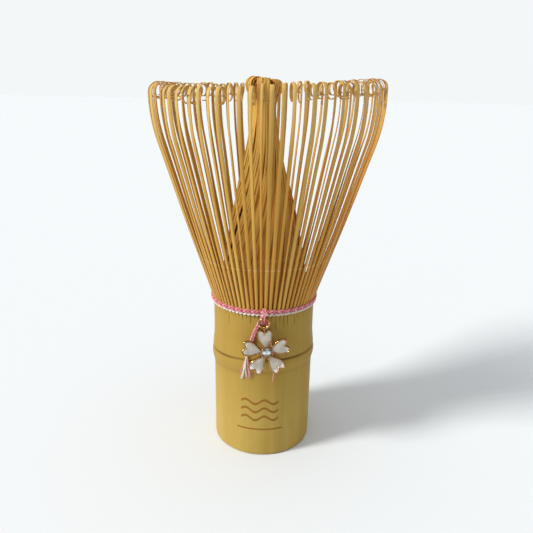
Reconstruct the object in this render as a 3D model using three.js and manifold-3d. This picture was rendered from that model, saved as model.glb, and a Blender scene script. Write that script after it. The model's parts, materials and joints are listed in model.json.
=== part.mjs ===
// Bamboo tea whisk (chasen): a culm handle, two rings of split tines, a two-colour thread binding and a
// cherry-blossom charm that hangs from the binding on a jump ring.
// Millimetres, +Z up. The origin is the centre of the foot; the charm hangs on the -Y side.
import * as THREE from "three";
import { mergeVertices } from "three/addons/utils/BufferGeometryUtils.js";
import Module from "manifold-3d";

const wasm = await Module();
wasm.setup();

// ---- Driving dimensions --------------------------------------------------------------------------------
const DEG = Math.PI / 180;
const CULM = { radius: 14.65, top: 44.5, boreBelow: 10.4, boreAbove: 11.4, footRound: 0.5 };
const NODE = {
  z: 30.3, riseX: 0.03, riseY: -0.09, groove: 14.85, upperRidge: 14.97, upperOffset: 1, lowerRidge: 15.12,
  lowerOffset: 2, shoulder: 5.5, diaphragm: 2.6,
};
const SPLITS = 16; // the culm is first split into sixteen sectors
const OUTER_TINES = 5; // in each sector
const INNER_TINES = 4; // in each sector
const SPLIT_ANGLE = (2 * Math.PI) / SPLITS;
const ROOT = { bottom: 44.8, top: 46.2, sideGap: 0.15 }; // the unsplit root that each sector's tines share
const OUTER = {
  rootIn: 13.95, thickness: 0.36, width: 0.8, lean: 17.4, leanStart: 45.3, bendStart: 91,
  bendRadius: 36, curlRadius: 2, curlTurn: 285, curlSteps: 7, bendSteps: 3,
};
const INNER = {
  rootOut: 13.6, rootIn: 12.7, thickness: 0.3, widthRoot: 0.7, widthTip: 0.28,
  shoulder: { z: 72, radius: 8.3 }, neck: { z: 98.5, radii: [3.05, 2.3] }, crown: { z: 106, flare: 1.5 },
};
const THREAD = { radius: 0.28, pinkZ: 46.3, pinkR: 15.6, whiteZ: 45.45, whiteR: 15.25, sides: 6, steps: 64 };
const CHARM_X = 0.3; // the charm hangs a little to the right of the front centre line
const HANG_Y = -17.05;
const LOOP = { z: 45.45, radius: 0.65, wire: 0.18, knot: 0.55 };
const RING = { radius: 1.45, wire: 0.3 };
const CHARM = {
  tilt: 8, roll: 3.3, drop: 6.65, petals: 5, reach: 6.6, half: 2.05, notch: 0.95, thickness: 1, pocket: 0.4,
  border: 0.38, gap: 0.12, bailRadius: 0.7, bailWire: 0.25,
};
const STONE = { radius: 1.0, cup: 1.4, cupHeight: 0.55, table: 0.55, prongs: 4 };
const TAIL = { radius: 0.42, strand: 0.2 };
const TASSEL = {
  top: 35.2, hem: 26, fray: 2.2, halfTop: 0.5, halfHem: 2, threads: 6, back: 15.45, thickness: 0.6, turn: -17.5,
};

// ---- Materials -----------------------------------------------------------------------------------------
const finish = (color, roughness, metalness = 0) =>
  new THREE.MeshStandardMaterial({ color, roughness, metalness });
const BAMBOO_SKIN = finish(0xc8aa62, 0.42);
const BAMBOO_SPLIT = finish(0xc09a52, 0.6);
const PINK_THREAD = finish(0xe58fa3, 0.85);
const WHITE_THREAD = finish(0xeee6dc, 0.85);
const GOLD = finish(0xd9a866, 0.22, 1);
const PEARL = finish(0xe9e3de, 0.25);
const CRYSTAL = finish(0xdfe9ee, 0.05);

// ---- Helpers -------------------------------------------------------------------------------------------
function solid(geometry) {
  const bare = geometry.clone();
  bare.deleteAttribute("normal");
  bare.deleteAttribute("uv");
  const merged = mergeVertices(bare, 1e-4);
  return new wasm.Manifold(
    new wasm.Mesh({
      numProp: 3,
      vertProperties: merged.attributes.position.array,
      triVerts: new Uint32Array(merged.index.array),
    }),
  );
}

function geometryOf(manifold) {
  const mesh = manifold.getMesh();
  const geometry = new THREE.BufferGeometry();
  geometry.setAttribute("position", new THREE.BufferAttribute(new Float32Array(mesh.vertProperties), 3));
  geometry.setIndex(new THREE.BufferAttribute(new Uint32Array(mesh.triVerts), 1));
  geometry.computeVertexNormals();
  return geometry;
}

const union = (geometries) => geometryOf(geometries.map(solid).reduce((sum, next) => sum.add(next)));

function named(name, geometry, material) {
  const mesh = new THREE.Mesh(geometry, material);
  mesh.name = name;
  return mesh;
}

// A flat strip that follows a line in the radial plane: x is the radius and y the height.
function strip(line, thickness, width) {
  const side = (sign) =>
    line.map((point, i) => {
      const before = line[Math.max(i - 1, 0)];
      const after = line[Math.min(i + 1, line.length - 1)];
      const along = after.clone().sub(before).normalize();
      return point.clone().add(new THREE.Vector2(along.y, -along.x).multiplyScalar((sign * thickness) / 2));
    });
  const outline = new THREE.Shape([...side(1), ...side(-1).reverse()]);
  const geometry = new THREE.ExtrudeGeometry(outline, { depth: width, bevelEnabled: false });
  return geometry.translate(0, 0, -width / 2).rotateX(Math.PI / 2);
}

// The root of one sector: a slice of the culm wall.
function rootSlice(inner, outer) {
  const outerHalf = SPLIT_ANGLE / 2 - ROOT.sideGap / outer;
  const innerHalf = SPLIT_ANGLE / 2 - ROOT.sideGap / inner;
  const slice = new THREE.Shape();
  slice.absarc(0, 0, outer, -outerHalf, outerHalf, false);
  slice.absarc(0, 0, inner, innerHalf, -innerHalf, true);
  const depth = ROOT.top - ROOT.bottom;
  return new THREE.ExtrudeGeometry(slice, { depth, bevelEnabled: false, curveSegments: 3 }).translate(
    0, 0, ROOT.bottom,
  );
}

// A sector's tines, evenly spread over its angle; make(i) gives the tine that lies along +X.
const tines = (count, make) =>
  Array.from({ length: count }, (_, i) => make(i).rotateZ(((i + 0.5) / count - 0.5) * SPLIT_ANGLE));

function tube(points, radius, steps, sides = 8) {
  const section = new THREE.Shape();
  section.absarc(0, 0, radius, 0, 2 * Math.PI, false);
  return new THREE.ExtrudeGeometry(section, {
    steps, curveSegments: sides / 2, bevelEnabled: false, extrudePath: new THREE.CatmullRomCurve3(points),
  });
}

// ---- Handle --------------------------------------------------------------------------------------------
// A length of culm with one node: hollow below and above, closed by the diaphragm at the node.
function culm() {
  const { radius, top, boreBelow, boreAbove, footRound } = CULM;
  const { z, groove, upperRidge, upperOffset, lowerRidge, lowerOffset, shoulder, diaphragm } = NODE;
  const floor = z - diaphragm / 2;
  const ceiling = z + diaphragm / 2;
  const profile = [
    [0, floor], [boreBelow * 0.8, floor - 0.4], [boreBelow, floor - 2.2], [boreBelow, 0],
    [radius - footRound, 0], [radius - 0.15, 0.15], [radius, footRound],
    [radius, z - shoulder], [lowerRidge - 0.08, z - lowerOffset - 1.2], [lowerRidge, z - lowerOffset],
    [groove, z - 0.2], [groove, z + 0.2],
    [upperRidge, z + upperOffset], [radius + 0.1, z + upperOffset + 2], [radius, z + shoulder],
    [radius, top], [boreAbove, top], [boreAbove, ceiling + 2.2], [boreAbove * 0.8, ceiling + 0.4],
    [0, ceiling],
  ].map(([r, h]) => new THREE.Vector2(r, h));
  return slanted(new THREE.LatheGeometry(profile, 44).rotateX(Math.PI / 2));
}

// The node grew on a slant: its ridges, groove and diaphragm rise towards one side.
function slanted(geometry) {
  const position = geometry.attributes.position;
  const reach = NODE.shoulder - 0.5;
  for (let i = 0; i < position.count; i++) {
    const z = position.getZ(i);
    const rise = NODE.riseX * position.getX(i) + NODE.riseY * position.getY(i);
    if (Math.abs(z - NODE.z) < reach) position.setZ(i, z + rise);
  }
  return geometry;
}

// ---- Tines ---------------------------------------------------------------------------------------------
// An outer tine leans out, bends back to upright and ends in an inward curl.
function outerLine() {
  const { lean, leanStart, bendStart, bendRadius, curlRadius, curlTurn, curlSteps, bendSteps } = OUTER;
  const start = CULM.radius - OUTER.thickness / 2 - 0.02;
  const line = [new THREE.Vector2(start, ROOT.bottom + 0.4), new THREE.Vector2(start, leanStart)];
  const rise = bendStart - leanStart;
  const bend = new THREE.Vector2(start + rise * Math.tan(lean * DEG), bendStart);
  for (let i = 0; i <= bendSteps; i++) {
    const angle = lean * DEG * (1 - i / bendSteps);
    line.push(
      new THREE.Vector2(
        bend.x + bendRadius * (Math.cos(angle) - Math.cos(lean * DEG)),
        bend.y + bendRadius * (Math.sin(lean * DEG) - Math.sin(angle)),
      ),
    );
  }
  const top = line[line.length - 1];
  const centre = new THREE.Vector2(top.x - curlRadius, top.y + 1);
  for (let i = 0; i <= curlSteps; i++) {
    const angle = (curlTurn * DEG * i) / curlSteps;
    line.push(
      new THREE.Vector2(centre.x + curlRadius * Math.cos(angle), centre.y + curlRadius * Math.sin(angle)),
    );
  }
  return line;
}

function outerSector() {
  const tine = strip(outerLine(), OUTER.thickness, OUTER.width);
  return union([rootSlice(OUTER.rootIn, CULM.radius), ...tines(OUTER_TINES, () => tine.clone())]);
}

// An inner tine leans in to the neck and flares a little at its crown. Neighbours lie in two layers there.
function innerLine(layer) {
  const { rootOut, rootIn, shoulder, neck, crown } = INNER;
  const start = (rootOut + rootIn) / 2;
  const top = neck.radii[layer];
  return [
    [start, ROOT.bottom + 0.4], [start, ROOT.top], [shoulder.radius, shoulder.z],
    [top, neck.z], [top + crown.flare * 0.75, (neck.z + crown.z) / 2], [top + crown.flare, crown.z],
  ].map(([r, h]) => new THREE.Vector2(r, h));
}

function narrowed(geometry) {
  const position = geometry.attributes.position;
  for (let i = 0; i < position.count; i++) {
    const share = THREE.MathUtils.clamp((position.getZ(i) - ROOT.top) / (INNER.neck.z - ROOT.top), 0, 1);
    const width = THREE.MathUtils.lerp(INNER.widthRoot, INNER.widthTip, share);
    position.setY(i, (position.getY(i) / INNER.widthRoot) * width);
  }
  return geometry;
}

function innerSector() {
  const layers = [0, 1].map((layer) => narrowed(strip(innerLine(layer), INNER.thickness, INNER.widthRoot)));
  const spread = tines(INNER_TINES, (i) => layers[i % 2].clone());
  return union([rootSlice(INNER.rootIn, INNER.rootOut), ...spread]);
}

// ---- Binding -------------------------------------------------------------------------------------------
const hoop = (radius, z) =>
  new THREE.TorusGeometry(radius, THREAD.radius, THREAD.sides, THREAD.steps).translate(0, 0, z);

// The pink thread's knot and the small loop that carries the jump ring.
function knottedLoop() {
  const knot = new THREE.IcosahedronGeometry(LOOP.knot, 1).scale(1.4, 1, 0.9).translate(0, 0.05, 0.85);
  return union([new THREE.TorusGeometry(LOOP.radius, LOOP.wire, 6, 16).rotateY(Math.PI / 2), knot]);
}

// A point on the handle's face: across is the distance to the right of the centre line.
const onCulm = (across, radius, z) => new THREE.Vector3(across, -Math.sqrt(radius ** 2 - across ** 2), z);

function braidedTail() {
  return tube([onCulm(-1.6, 15.3, 44), onCulm(-2.9, 15.3, 41), onCulm(-3.8, 15.3, 38.2), onCulm(-4.5, 15.4, 35.6)],
    TAIL.radius, 6);
}

function strayStrand() {
  return tube([onCulm(1.5, 15.1, 44.0), onCulm(1.9, 15.1, 38), onCulm(2.2, 15.6, 32), onCulm(2.4, 15.6, 28),
    onCulm(2.5, 15.5, 25.6)], TAIL.strand, 8);
}

// The frayed end of the tail: a fan of loose threads with a ragged hem, lying over the node.
function tassel() {
  const { top, hem, fray, halfTop, halfHem, threads, back, thickness, turn } = TASSEL;
  const fan = new THREE.Shape().moveTo(-halfTop, top).lineTo(halfTop, top);
  for (let i = 0; i <= 2 * threads; i++) {
    fan.lineTo(halfHem * (1 - i / threads), i % 2 ? hem : hem + fray);
  }
  const plate = new THREE.ExtrudeGeometry(fan, { depth: thickness, bevelEnabled: false });
  return plate.rotateX(Math.PI / 2).translate(0, -back, 0).rotateZ(turn * DEG);
}

// ---- Charm ---------------------------------------------------------------------------------------------
// One notched petal, pointing up from the flower's centre; inset shrinks its outline.
function petalShape(inset) {
  const tip = CHARM.reach - inset;
  const half = CHARM.half - inset;
  const base = 0.35 + inset * 2.6;
  const waist = [0.75 - inset * 0.5, 1.2 + inset * 2];
  const belly = 4.75;
  const petal = new THREE.Shape();
  petal.moveTo(0, base);
  petal.bezierCurveTo(waist[0], waist[1], half, 3, half, belly);
  petal.bezierCurveTo(half, belly + 0.9, half * 0.75, tip - 0.2, half * 0.5, tip);
  petal.lineTo(0, tip - CHARM.notch);
  petal.lineTo(-half * 0.5, tip);
  petal.bezierCurveTo(-half * 0.75, tip - 0.2, -half, belly + 0.9, -half, belly);
  petal.bezierCurveTo(-half, 3, -waist[0], waist[1], 0, base);
  return petal;
}

// A petal plate from one depth to another, measured forward (towards -Y) from the flower's back face.
function petalPlate(inset, back, front, turn) {
  return new THREE.ExtrudeGeometry(petalShape(inset), {
    depth: front - back, bevelEnabled: false, curveSegments: 4,
  }).rotateX(Math.PI / 2).translate(0, CHARM.thickness / 2 - back, 0).rotateY(turn);
}

const petalTurn = (i) => (-2 * Math.PI * i) / CHARM.petals;
const dropped = (geometry) => geometry.translate(0, 0, -CHARM.drop);
const disc = (radius, back, front, sides = 20) =>
  new THREE.CylinderGeometry(radius, radius, front - back, sides).translate(
    0, CHARM.thickness / 2 - (back + front) / 2, 0,
  );

function charmFrame() {
  const { thickness, pocket, border, petals, bailRadius, bailWire, reach, drop } = CHARM;
  const turns = Array.from({ length: petals }, (_, i) => petalTurn(i));
  const plates = turns.map((turn) => solid(petalPlate(0, 0, thickness, turn)));
  const pockets = turns.map((turn) => solid(petalPlate(border, thickness - pocket, thickness + 1, turn)));
  const flower = [...plates.slice(1), solid(disc(1.6, 0, thickness - pocket))].reduce(
    (sum, next) => sum.add(next), plates[0],
  );
  const cut = pockets.reduce((sum, next) => sum.subtract(next), flower);
  const seat = cut.subtract(solid(disc(STONE.cup + CHARM.gap, thickness - pocket, thickness + 1)));
  const bail = new THREE.TorusGeometry(bailRadius, bailWire, 8, 16).rotateY(Math.PI / 2);
  const stem = new THREE.CylinderGeometry(0.3, 0.3, 1.2, 8).rotateX(Math.PI / 2).translate(0, 0, -1.35);
  return geometryOf(solid(dropped(geometryOf(seat))).add(solid(bail)).add(solid(stem)));
}

function petalEnamel(i) {
  const { border, gap, thickness, pocket } = CHARM;
  const plate = petalPlate(border + gap, thickness - pocket + gap, thickness - 0.06, petalTurn(i));
  const clear = disc(STONE.cup + 2 * gap, 0, thickness + 1);
  return dropped(geometryOf(solid(plate).subtract(solid(clear))));
}

function stoneCup() {
  const floor = CHARM.thickness - CHARM.pocket + CHARM.gap;
  const cup = solid(disc(STONE.cup, floor, floor + STONE.cupHeight)).subtract(
    solid(disc(STONE.radius + CHARM.gap, floor + 0.2, floor + 2)),
  );
  const prongs = Array.from({ length: STONE.prongs }, (_, i) => {
    const turn = (2 * Math.PI * (i + 0.5)) / STONE.prongs;
    const prong = new THREE.CylinderGeometry(0.16, 0.22, 0.75, 8);
    return solid(prong.translate(Math.cos(turn) * 1.28, CHARM.thickness / 2 - floor - 0.5, Math.sin(turn) * 1.28));
  });
  return dropped(geometryOf(prongs.reduce((sum, next) => sum.add(next), cup)));
}

function stone() {
  const floor = CHARM.thickness - CHARM.pocket + 2 * CHARM.gap + 0.2;
  const profile = [[0, 0], [STONE.radius * 0.6, 0], [STONE.radius, 0.4], [STONE.table, 0.75], [0, 0.75]].map(
    ([r, h]) => new THREE.Vector2(r, h),
  );
  const cut = new THREE.LatheGeometry(profile, 8).rotateX(Math.PI).translate(0, CHARM.thickness / 2 - floor, 0);
  return dropped(cut);
}

// ---- Assembly ------------------------------------------------------------------------------------------
const whisk = new THREE.Group();
whisk.add(named("handle_culm", culm(), BAMBOO_SKIN));

const outer = outerSector();
const inner = innerSector();
for (let i = 0; i < SPLITS; i++) {
  const number = String(i + 1).padStart(2, "0");
  const sector = new THREE.Group();
  sector.rotation.z = (i + 0.5) * SPLIT_ANGLE;
  sector.add(named(`outer_tines_${number}`, outer, BAMBOO_SKIN), named(`inner_tines_${number}`, inner, BAMBOO_SPLIT));
  whisk.add(sector);
}

whisk.add(
  named("binding_thread_pink", hoop(THREAD.pinkR, THREAD.pinkZ), PINK_THREAD),
  named("binding_thread_white", hoop(THREAD.whiteR, THREAD.whiteZ), WHITE_THREAD),
  named("thread_tail_braid", braidedTail(), PINK_THREAD),
  named("thread_tail_tassel", tassel(), WHITE_THREAD),
  named("thread_stray_strand", strayStrand(), PINK_THREAD),
);

const hanger = new THREE.Group();
hanger.position.set(CHARM_X, HANG_Y, LOOP.z);
const ring = new THREE.TorusGeometry(RING.radius, RING.wire, 8, 24).rotateX(Math.PI / 2);
hanger.add(
  named("hanging_thread_loop", knottedLoop(), PINK_THREAD),
  named("jump_ring", ring.translate(0, 0, -RING.radius), GOLD),
);

const charm = new THREE.Group();
charm.position.z = -2 * RING.radius;
charm.rotation.set(-CHARM.tilt * DEG, -CHARM.roll * DEG, 0);
charm.add(named("charm_frame", charmFrame(), GOLD));
for (let i = 0; i < CHARM.petals; i++) charm.add(named(`petal_enamel_${i + 1}`, petalEnamel(i), PEARL));
charm.add(named("stone_setting", stoneCup(), GOLD), named("crystal_stone", stone(), CRYSTAL));
hanger.add(charm);
whisk.add(hanger);

export default whisk;
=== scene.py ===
"""Looks of a bamboo tea whisk with a blossom charm, built around its CAD frame. Lengths are metres."""

import json
import math
import random

import bpy
import numpy as np
from mathutils import Matrix, Vector


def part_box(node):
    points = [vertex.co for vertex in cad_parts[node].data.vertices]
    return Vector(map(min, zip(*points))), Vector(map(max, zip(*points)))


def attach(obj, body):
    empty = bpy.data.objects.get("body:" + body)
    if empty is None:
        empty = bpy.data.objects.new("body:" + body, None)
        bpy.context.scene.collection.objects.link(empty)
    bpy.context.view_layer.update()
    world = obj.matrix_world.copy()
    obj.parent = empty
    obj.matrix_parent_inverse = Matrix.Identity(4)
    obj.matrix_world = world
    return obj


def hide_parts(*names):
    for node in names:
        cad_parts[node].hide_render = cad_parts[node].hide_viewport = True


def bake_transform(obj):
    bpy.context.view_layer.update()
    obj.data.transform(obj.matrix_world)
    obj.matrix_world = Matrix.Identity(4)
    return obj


MM = 0.001
TAU = 2 * math.pi
UP = Vector((0, 0, 1))
RIGHT = Vector((1, 0, 0))
INWARD = Vector((0, 1, 0))  # from the front, which faces -Y, towards the back
rng = random.Random(8)

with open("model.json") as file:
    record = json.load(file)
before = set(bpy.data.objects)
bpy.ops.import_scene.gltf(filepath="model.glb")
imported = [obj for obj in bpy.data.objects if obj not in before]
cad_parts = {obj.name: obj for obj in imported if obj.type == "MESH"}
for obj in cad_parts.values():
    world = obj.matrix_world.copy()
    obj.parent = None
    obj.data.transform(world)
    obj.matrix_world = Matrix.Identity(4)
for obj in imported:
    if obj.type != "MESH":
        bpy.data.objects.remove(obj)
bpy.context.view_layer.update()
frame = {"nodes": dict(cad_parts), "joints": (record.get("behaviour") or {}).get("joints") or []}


# ---- Places and sizes read from the frame --------------------------------------------------------
def centre(node):
    low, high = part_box(node)
    return (low + high) / 2


def size(node):
    low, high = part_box(node)
    return high - low


JOINTS = {joint["name"]: joint for joint in frame["joints"]}
SECTORS = sum(name.startswith("outer_tines") for name in frame["nodes"])
SECTOR_ANGLE = TAU / SECTORS
CULM_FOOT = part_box("handle_culm")[0].z
CULM_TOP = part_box("handle_culm")[1].z
ROOT_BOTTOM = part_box("outer_tines_01")[0].z
TIP_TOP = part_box("outer_tines_01")[1].z
KNOT_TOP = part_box("inner_tines_01")[1].z
PINK_Z = centre("binding_thread_pink").z
RING_PIVOT = Vector(JOINTS["jump_ring_swing"]["pos_m"])
CHARM_PIVOT = Vector(JOINTS["charm_swing"]["pos_m"])

# ---- Culm sizes that only the looks need ---------------------------------------------------------
CULM_RADIUS = 14.65 * MM
LOWER_BORE = 10.4 * MM
UPPER_BORE = 11.4 * MM
FOOT_ROUNDING = 0.6 * MM
NODE_Z = 30.3 * MM  # the node's groove, at the axis
NODE_RISE = Vector((0.03, -0.09, 0))  # the groove rises towards +X and towards the front
NODE_WALL = 2.6 * MM  # the wall that closes the culm at its node
SCAR_DROP = 4.2 * MM  # a faint scar runs round the culm this far below the groove
# each ridge, groove or scar round the node: how far it stands out, its place above the groove, its width
NODE_RELIEF = ((0.34 * MM, 1.1 * MM, 2.6 * MM), (0.52 * MM, -1.9 * MM, 2.1 * MM),
               (-0.42 * MM, 0.0, 0.32 * MM), (-0.05 * MM, -SCAR_DROP, 0.5 * MM))
SKIN_TOP = CULM_TOP + 0.5 * MM  # the skin reaches under the binding, where the splits begin
SPLIT_DEPTHS = (0.8 * MM, 1.3 * MM, 2.0 * MM, 3.2 * MM)  # how far the splits run down into the skin
MARK_X, MARK_Z = -0.6 * MM, 15.4 * MM  # the middle of the burnt mark's waves

# ---- Outer tine sizes ----------------------------------------------------------------------------
OUTER_PER_SECTOR = 5
OUTER_COUNT = SECTORS * OUTER_PER_SECTOR
TINE_PITCH = SECTOR_ANGLE / OUTER_PER_SECTOR
LEAN = math.radians(17.3)
LEAN_SPREAD = (-0.008, 0.008)
LEAN_START = 45.2 * MM
BEND_Z = 89.5 * MM  # from here up, the tines bend back to upright
BEND_RADIUS = 40 * MM
SHAVED_FROM = 59.5 * MM  # above this height the outer tines are shaved thinner
RIM_LIFT = 0.75 * MM  # how far the tallest tines reach above the CAD's tips, before the rise and the dip
RIM_RISE = 0.85 * MM  # the rim stands this much higher at +X and lower at -X
FRONT_DIP = 1.2 * MM  # and this much lower at the front
CURL_RADII = (1.8 * MM, 2.15 * MM)
CURL_DEGREES = (255, 350)
TINE_WIDTHS = (0.8 * MM, 1.18 * MM)
THIN_TINE_WIDTHS = (0.5 * MM, 0.65 * MM)
THIN_TINE_SHARE = 0.2
ROOT_WIDTHS = (0.8 * MM, 0.94 * MM)

# ---- Inner tine sizes ----------------------------------------------------------------------------
INNER_PER_SECTOR = 8
INNER_RADIUS = 13.15 * MM
SHOULDER_RADIUS = 8.3 * MM
SHOULDER_Z = 72 * MM
KNOT_CLUMPS = 6
# each layer of the knot, the outermost first: radius at the neck, at the bulge and of the curl, drop
KNOT_LAYERS = ((2.75 * MM, 4.65 * MM, 1.95 * MM, 0.0), (2.15 * MM, 4.1 * MM, 1.5 * MM, 0.45 * MM),
               (1.55 * MM, 3.5 * MM, 1.1 * MM, 0.95 * MM))
CLUMP_HALF = 1.6 * MM  # half the width of a clump
BUNDLE_LEAN = -0.9 * MM  # how far the inner bundle's knot stands to the side
BUNDLE_TWIST = 0.8  # how far the inner tines turn round the axis on their way up

# ---- Thread sizes --------------------------------------------------------------------------------
PINK_YARN = 0.24 * MM
WHITE_YARN = 0.27 * MM
THREAD_RISE = -0.03  # the binding rises towards the front
TAIL_FORK = (-4.0, 34.2)  # where the plait's loose ends begin: x and z in millimetres

# ---- Charm sizes ---------------------------------------------------------------------------------
CHARM_TILT = math.radians(8)
CHARM_ROLL = math.radians(4.8)
CHARM_DROP = 6.85 * MM  # from the bail's middle down to the flower's middle
PETALS = 5
PETAL_REACH = 6.55 * MM
PETAL_HALF = 2.15 * MM  # half a petal's width
# half a petal's outline, from its base to its notch, as shares of its half width and its reach
PETAL_SIDE = ((0.14, 0.15), (0.48, 0.33), (0.87, 0.56), (1.0, 0.74), (0.92, 0.9), (0.6, 1.0),
              (0.24, 0.955), (0, 0.87))
CHARM_BACK = 0.5 * MM  # the charm's back face; its front faces -Y
RIM_WIRE = 0.18 * MM  # the radius of the rim's rounded wire
RING_WIRE = 0.33 * MM  # the radius of the jump ring's wire

# ---- Camera, light and floor settings ------------------------------------------------------------
CAMERA_PLACE = Vector((0.6, -144.6, 103)) * MM
CAMERA_PITCH = math.radians(18.6)
CAMERA_ROLL = math.radians(1.06)
LENS = 35.4  # millimetres, for a sensor 36 mm wide
WALL = (0.896, 0.93, 0.939)
UPPER_WALL = (0.29, 0.295, 0.3)
CEILING = (1.35, 1.37, 1.39)
STUDIO_BANDS = ((10, WALL), (20, UPPER_WALL), (50, UPPER_WALL), (68, CEILING))  # by elevation in degrees
KEY_STRENGTH = 3.15
KEY_COLOUR = (1, 0.99, 0.97)
KEY_SOFTNESS = math.radians(13)
KEY_AZIMUTH = math.radians(201)
KEY_ELEVATION = math.radians(34)
FLOOR_REACH = 6
FLOOR_SHADES = ((0.765, 0.792, 0.807), (0.775, 0.802, 0.817))


# ---- Mesh helpers --------------------------------------------------------------------------------
class Builder:
    """Collects the faces of one piece, with a UV (across, along) and a tone for each point."""

    def __init__(self):
        self.points = []
        self.faces = []
        self.corners = []
        self.tones = []

    def grid(self, rows, tone=0.5, caps=True, closed_along=False):
        """Joins neighbouring rings of points by quads. tone: a number, or a list of one for each row."""
        first = len(self.points)
        count, length = len(rows[0]), len(rows)
        for i, ring in enumerate(rows):
            self.points.extend(ring)
            self.tones.extend([tone[i] if isinstance(tone, list) else tone] * count)
        for i in range(length if closed_along else length - 1):
            after = (i + 1) % length
            low, high = i / (length - 1), (i + 1) / (length - 1)
            for j in range(count):
                k = (j + 1) % count
                self.faces.append((first + i * count + j, first + i * count + k,
                                   first + after * count + k, first + after * count + j))
                left, right = j / count, (j + 1) / count
                self.corners.extend([(left, low), (right, low), (right, high), (left, high)])
        if caps and not closed_along:
            for start, order in ((0, range(count - 1, -1, -1)), (length - 1, range(count))):
                self.faces.append(tuple(first + start * count + j for j in order))
                self.corners.extend([(j / count, start / (length - 1)) for j in order])

    def piece(self, name, material, smooth=True, place=None):
        mesh = bpy.data.meshes.new(name)
        points = [place @ p for p in self.points] if place else self.points
        mesh.from_pydata([tuple(p) for p in points], [], self.faces)
        layer = mesh.uv_layers.new(name="UVMap")
        layer.data.foreach_set("uv", np.array(self.corners, np.float32).ravel())
        tone = mesh.attributes.new("tone", "FLOAT", "POINT")
        tone.data.foreach_set("value", np.array(self.tones, np.float32))
        mesh.polygons.foreach_set("use_smooth", [smooth] * len(mesh.polygons))
        mesh.materials.append(material)
        mesh.update()
        obj = bpy.data.objects.new(name, mesh)
        bpy.context.scene.collection.objects.link(obj)
        return obj


def settle(obj, body, slot, *nodes):
    """The piece stands for these CAD nodes, which it hides, and moves with that body. The slot is not used.
    """
    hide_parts(*nodes)
    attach(obj, body)


def between(limits):
    return rng.uniform(*limits)


def smoothstep(x):
    x = min(max(x, 0.0), 1.0)
    return x * x * (3 - 2 * x)


def lerp(a, b, t):
    return a + (b - a) * t


def bell(x, width):
    return math.exp(-((x / width) ** 2))


def spin(point, angle):
    """Turns a point about the whisk's axis."""
    c, s = math.cos(angle), math.sin(angle)
    return Vector((point[0] * c - point[1] * s, point[0] * s + point[1] * c, point[2]))


def smooth_path(points, count):
    """A smooth line through the points, evenly spaced by length."""
    points = [Vector(p) for p in points]
    fine = []
    for i in range(len(points) - 1):
        before, a = points[max(i - 1, 0)], points[i]
        b, after = points[i + 1], points[min(i + 2, len(points) - 1)]
        for k in range(24):
            t = k / 24
            fine.append(0.5 * (2 * a + (b - before) * t + (2 * before - 5 * a + 4 * b - after) * t ** 2
                               + (3 * a - before - 3 * b + after) * t ** 3))
    fine.append(points[-1])
    lengths = [0.0]
    for a, b in zip(fine, fine[1:]):
        lengths.append(lengths[-1] + (b - a).length)
    result, k = [], 0
    for i in range(count):
        target = lengths[-1] * i / (count - 1)
        while k < len(fine) - 2 and lengths[k + 1] < target:
            k += 1
        span = max(lengths[k + 1] - lengths[k], 1e-12)
        result.append(fine[k].lerp(fine[k + 1], min(max((target - lengths[k]) / span, 0), 1)))
    return result


def frames_along(path, closed=False, up=UP):
    """(side, normal) at each point, carried along without twist."""
    count, side, result = len(path), None, []
    for i in range(count):
        if closed:
            tangent = (path[(i + 1) % count] - path[i - 1]).normalized()
        else:
            tangent = (path[min(i + 1, count - 1)] - path[max(i - 1, 0)]).normalized()
        if side is None:
            side = tangent.cross(up)
        side = (side - tangent * side.dot(tangent)).normalized()
        result.append((side, tangent.cross(side).normalized()))
    return result


def add_tube(builder, path, radius, sides=8, closed=False, tone=0.5, up=UP, taper=None):
    rows = []
    for i, (point, (side, normal)) in enumerate(zip(path, frames_along(path, closed, up))):
        r = radius * (taper(i / (len(path) - 1)) if taper else 1)
        turns = [TAU * j / sides for j in range(sides)]
        rows.append([point + side * math.cos(a) * r + normal * math.sin(a) * r for a in turns])
    builder.grid(rows, tone=tone, caps=not closed, closed_along=closed)


def plies(path, offset, turns, closed, up):
    """The centre lines of two plies wound round a path."""
    directions = frames_along(path, closed, up)
    lines = []
    for ply in range(2):
        line = []
        for i, (point, (side, normal)) in enumerate(zip(path, directions)):
            share = i / (len(path) if closed else len(path) - 1)
            angle = TAU * (turns * share + ply / 2)
            line.append(point + side * math.cos(angle) * offset + normal * math.sin(angle) * offset)
        lines.append(line)
    return lines


def add_yarn(builder, path, radius, turns, closed=False, up=UP, taper=None, tone=0.5):
    """A two-ply twisted thread of that radius."""
    for line in plies(path, radius * 0.46, turns, closed, up):
        add_tube(builder, line, radius * 0.6, 7, closed, tone, up, taper)


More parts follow.
